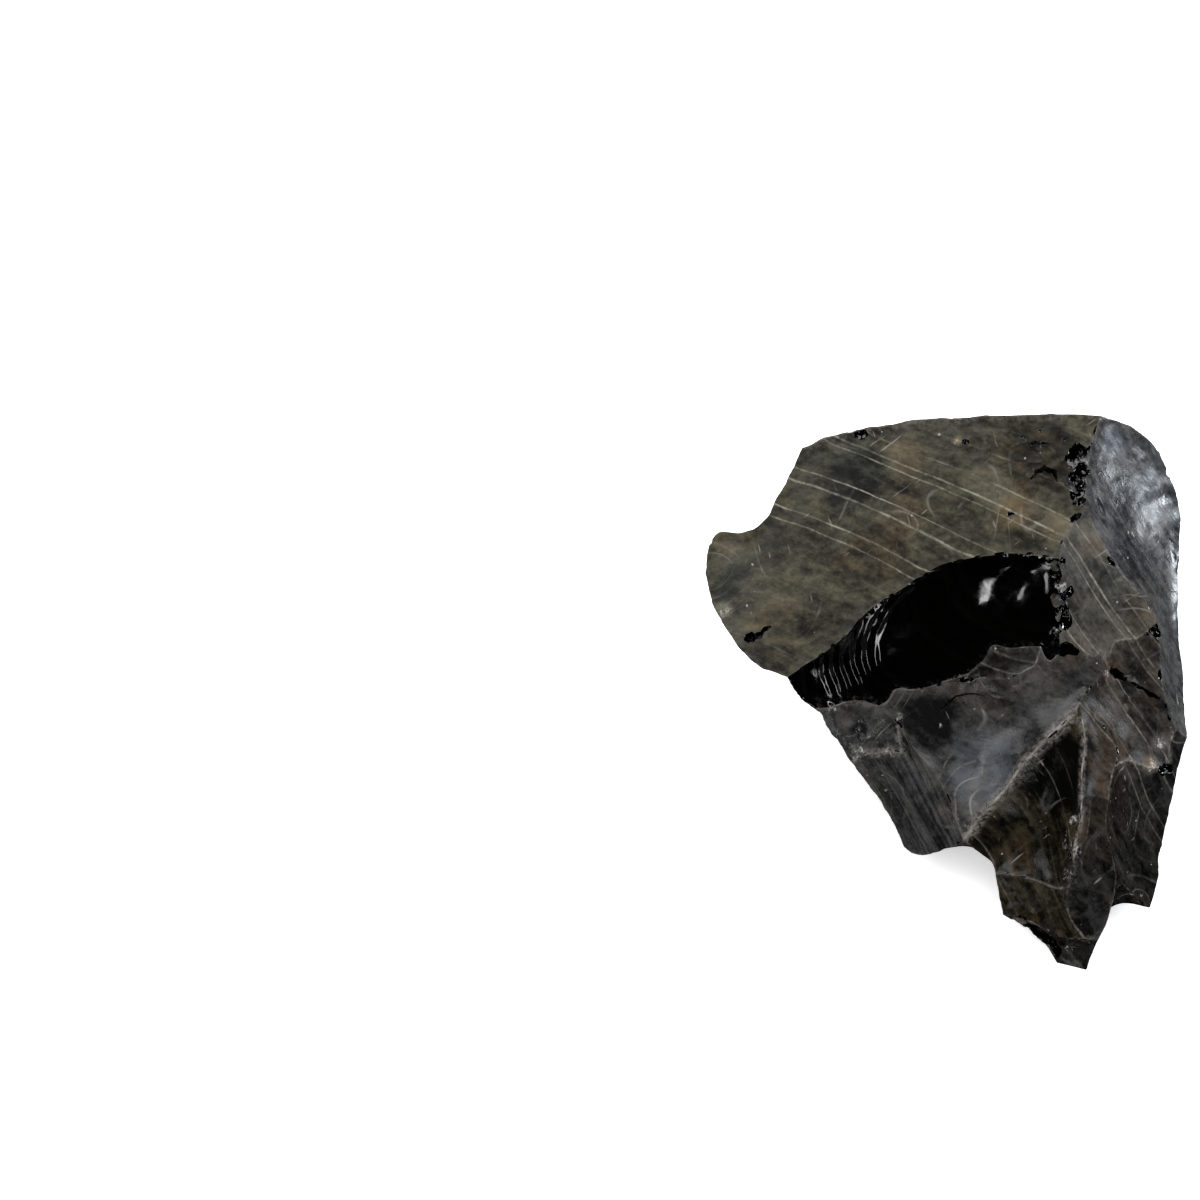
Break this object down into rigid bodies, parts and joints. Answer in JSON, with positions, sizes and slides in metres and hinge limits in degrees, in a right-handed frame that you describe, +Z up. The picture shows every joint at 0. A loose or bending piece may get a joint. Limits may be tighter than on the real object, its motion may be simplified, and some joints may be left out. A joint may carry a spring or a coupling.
{
  "type": "obsidian chunk",
  "caption": "Knapped chunk of natural obsidian with sharp ridges, shallow conchoidal scars and one fresh glossy scoop, standing on a flat base.",
  "frame": {"origin": "on the flat base, under the middle of the stone's box", "axes": "+Z up from the base, +X the stone's right, -Y its front, where the toe points"},
  "size_m": [0.09, 0.096, 0.0683],
  "materials": {
    "obsidian": "volcanic glass: satin, dusty and flow-banded on the old faces, mirror-glossy black on the fresh scars"
  },
  "bodies": {
    "root": {"obsidian_chunk": "obsidian"}
  },
  "joints": []
}
